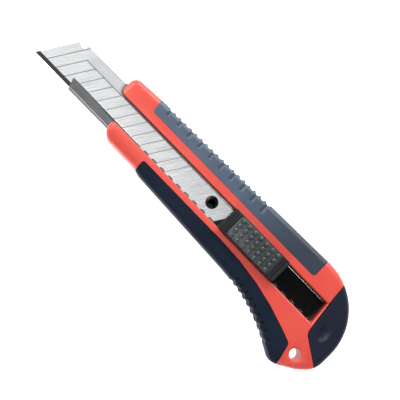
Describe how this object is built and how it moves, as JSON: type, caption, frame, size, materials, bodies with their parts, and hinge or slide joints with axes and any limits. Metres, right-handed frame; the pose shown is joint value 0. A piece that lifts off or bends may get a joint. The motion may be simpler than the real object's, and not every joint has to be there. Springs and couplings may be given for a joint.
{
  "type": "utility knife",
  "caption": "Snap-off blade utility knife with a steel guide channel, auto-lock thumb slider, rubber grips, a pull-off end cap and a lanyard hole.",
  "frame": {"origin": "centre of the knife's box in x and y, on the plane of its flat back", "axes": "+X along the knife towards the butt, so the blade points along -X; +Y towards the spine; +Z out of the front face with the slider"},
  "size_m": [0.1775, 0.0465, 0.0179],
  "materials": {
    "casing": "semi-gloss moulded",
    "spine_rubber": "satin moulded rubber",
    "belly_rubber": "satin moulded rubber",
    "channel_steel": "bright plated sheet",
    "blade_steel": "ground",
    "spring_steel": "rolled",
    "screw_steel": "zinc plated",
    "black_plastic": "fine texture",
    "button_plastic": "fine texture"
  },
  "bodies": {
    "handle": {"rear_casing": "casing", "front_casing": "casing", "guide_channel": "channel_steel", "casing_screws": "screw_steel", "front_spine_grip": "spine_rubber", "rear_spine_grip": "spine_rubber", "front_belly_grip": "belly_rubber", "rear_belly_grip": "belly_rubber"},
    "slider": {"blade": "blade_steel", "blade_carrier": "black_plastic", "blade_peg": "black_plastic", "lock_spring": "spring_steel"},
    "button": {"thumb_button": "button_plastic", "button_pad": "button_plastic"},
    "end_cap": {"end_cap": "black_plastic", "end_cap_cover": "belly_rubber", "blade_tray": "black_plastic", "tray_lid": "black_plastic"}
  },
  "joints": [
    {"name": "blade_slide", "type": "slide", "parent": "handle", "child": "slider", "axis": [-1, 0, 0], "range_m": [-0.021, 0.062], "deforming": ["lock_spring"]},
    {"name": "button_press", "type": "slide", "parent": "slider", "child": "button", "axis": [0, 0, -1], "range_m": [0, 0.0008], "stiffness_N_per_m": 4000, "springref_m": -0.0006, "deforming": ["lock_spring"]},
    {"name": "cap_pull", "type": "slide", "parent": "handle", "child": "end_cap", "axis": [1, 0, 0], "range_m": [0, 0.1]}
  ]
}
